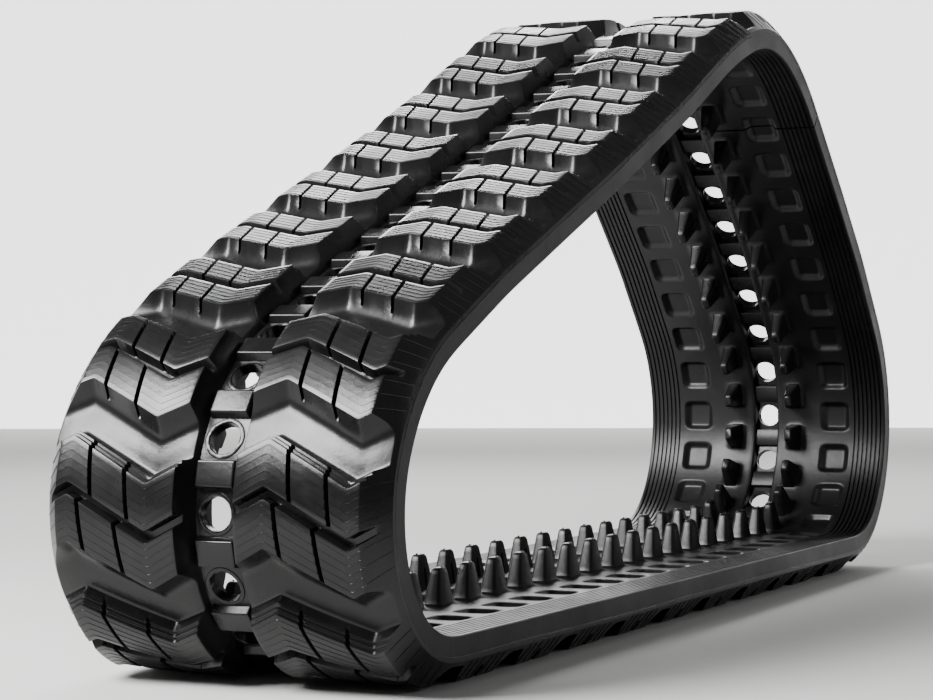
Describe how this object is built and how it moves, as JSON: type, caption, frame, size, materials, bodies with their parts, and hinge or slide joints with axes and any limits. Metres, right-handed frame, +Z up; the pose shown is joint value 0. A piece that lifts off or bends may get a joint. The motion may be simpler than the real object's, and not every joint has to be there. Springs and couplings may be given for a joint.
{
  "type": "rubber track",
  "caption": "Endless rubber track for a compact loader: zigzag ground lugs outside, steel guide horns and sprocket holes inside, bent to its running loop.",
  "frame": {"origin": "middle of the loop's length and of the belt's width, on the ground under the lugs", "axes": "+X along the ground run towards the rear wrap, +Y across the belt, +Z up"},
  "size_m": [2.0723, 0.45, 0.9197],
  "materials": {
    "carcass_rubber": "satin vulcanised rubber",
    "tread_rubber": "satin vulcanised rubber",
    "core_steel": "forged steel under a thin black rubber skin",
    "cord_steel": "brass-coated steel cord"
  },
  "bodies": {
    "belt_root": {"carcass_ground": "carcass_rubber", "tread_ground": "tread_rubber", "cores_ground": "core_steel", "cords_ground": "cord_steel", "carcass_front_wrap": "carcass_rubber", "tread_front_wrap": "tread_rubber", "cores_front_wrap": "core_steel", "cords_front_wrap": "cord_steel", "carcass_rear_wrap": "carcass_rubber", "tread_rear_wrap": "tread_rubber", "cores_rear_wrap": "core_steel", "cords_rear_wrap": "cord_steel"},
    "drive_wrap": {"carcass_drive_wrap": "carcass_rubber", "tread_drive_wrap": "tread_rubber", "cores_drive_wrap": "core_steel", "cords_drive_wrap": "cord_steel"},
    "return_1": {"carcass_return_1": "carcass_rubber", "tread_return_1": "tread_rubber", "cores_return_1": "core_steel", "cords_return_1": "cord_steel"},
    "return_2": {"carcass_return_2": "carcass_rubber", "tread_return_2": "tread_rubber", "cores_return_2": "core_steel", "cords_return_2": "cord_steel"},
    "return_3": {"carcass_return_3": "carcass_rubber", "tread_return_3": "tread_rubber", "cores_return_3": "core_steel", "cords_return_3": "cord_steel"},
    "return_4": {"carcass_return_4": "carcass_rubber", "tread_return_4": "tread_rubber", "cores_return_4": "core_steel", "cords_return_4": "cord_steel"},
    "return_5": {"carcass_return_5": "carcass_rubber", "tread_return_5": "tread_rubber", "cores_return_5": "core_steel", "cords_return_5": "cord_steel"},
    "return_6": {"carcass_return_6": "carcass_rubber", "tread_return_6": "tread_rubber", "cores_return_6": "core_steel", "cords_return_6": "cord_steel"},
    "rear_1": {"carcass_rear_1": "carcass_rubber", "tread_rear_1": "tread_rubber", "cores_rear_1": "core_steel", "cords_rear_1": "cord_steel"},
    "rear_2": {"carcass_rear_2": "carcass_rubber", "tread_rear_2": "tread_rubber", "cores_rear_2": "core_steel", "cords_rear_2": "cord_steel"},
    "rear_3": {"carcass_rear_3": "carcass_rubber", "tread_rear_3": "tread_rubber", "cores_rear_3": "core_steel", "cords_rear_3": "cord_steel"}
  },
  "joints": [
    {"name": "bend_return_1", "type": "hinge", "parent": "belt_root", "child": "return_1", "pos_m": [-0.86013, 0, 0.40654], "axis": [0, 1, 0], "range_deg": [-3, 3], "stiffness_Nm_per_rad": 4000},
    {"name": "bend_return_2", "type": "hinge", "parent": "return_1", "child": "return_2", "pos_m": [-0.70388, 0, 0.47844], "axis": [0, 1, 0], "range_deg": [-1.2, 1.2], "stiffness_Nm_per_rad": 4000},
    {"name": "bend_return_3", "type": "hinge", "parent": "return_2", "child": "return_3", "pos_m": [-0.54431, 0, 0.54263], "axis": [0, 1, 0], "range_deg": [-1.2, 1.2], "stiffness_Nm_per_rad": 4000},
    {"name": "bend_return_4", "type": "hinge", "parent": "return_3", "child": "return_4", "pos_m": [-0.38462, 0, 0.60654], "axis": [0, 1, 0], "range_deg": [-1.2, 1.2], "stiffness_Nm_per_rad": 4000},
    {"name": "bend_return_5", "type": "hinge", "parent": "return_4", "child": "return_5", "pos_m": [-0.22607, 0, 0.67323], "axis": [0, 1, 0], "range_deg": [-1.2, 1.2], "stiffness_Nm_per_rad": 4000},
    {"name": "bend_return_6", "type": "hinge", "parent": "return_5", "child": "return_6", "pos_m": [-0.06824, 0, 0.74157], "axis": [0, 1, 0], "range_deg": [-1.2, 1.2], "stiffness_Nm_per_rad": 4000},
    {"name": "bend_drive_wrap", "type": "hinge", "parent": "return_6", "child": "drive_wrap", "pos_m": [0.08699, 0, 0.81565], "axis": [0, 1, 0], "range_deg": [-3, 3], "stiffness_Nm_per_rad": 4000},
    {"name": "bend_rear_3", "type": "hinge", "parent": "belt_root", "child": "rear_3", "pos_m": [0.93701, 0, 0.41984], "axis": [0, 1, 0], "range_deg": [-3, 3], "stiffness_Nm_per_rad": 4000},
    {"name": "bend_rear_2", "type": "hinge", "parent": "rear_3", "child": "rear_2", "pos_m": [0.82039, 0, 0.54627], "axis": [0, 1, 0], "range_deg": [-3, 3], "stiffness_Nm_per_rad": 4000},
    {"name": "bend_rear_1", "type": "hinge", "parent": "rear_2", "child": "rear_1", "pos_m": [0.69238, 0, 0.66116], "axis": [0, 1, 0], "range_deg": [-3, 3], "stiffness_Nm_per_rad": 4000}
  ],
  "couplings": [
    {"joint": "bend_return_2", "follows": "bend_return_1", "ratio": -0.4},
    {"joint": "bend_return_3", "follows": "bend_return_1", "ratio": -0.4},
    {"joint": "bend_return_4", "follows": "bend_return_1", "ratio": -0.4},
    {"joint": "bend_return_5", "follows": "bend_return_1", "ratio": -0.4},
    {"joint": "bend_return_6", "follows": "bend_return_1", "ratio": -0.4},
    {"joint": "bend_drive_wrap", "follows": "bend_return_1", "ratio": 1},
    {"joint": "bend_rear_2", "follows": "bend_rear_3", "ratio": -1},
    {"joint": "bend_rear_1", "follows": "bend_rear_3", "ratio": -1}
  ]
}
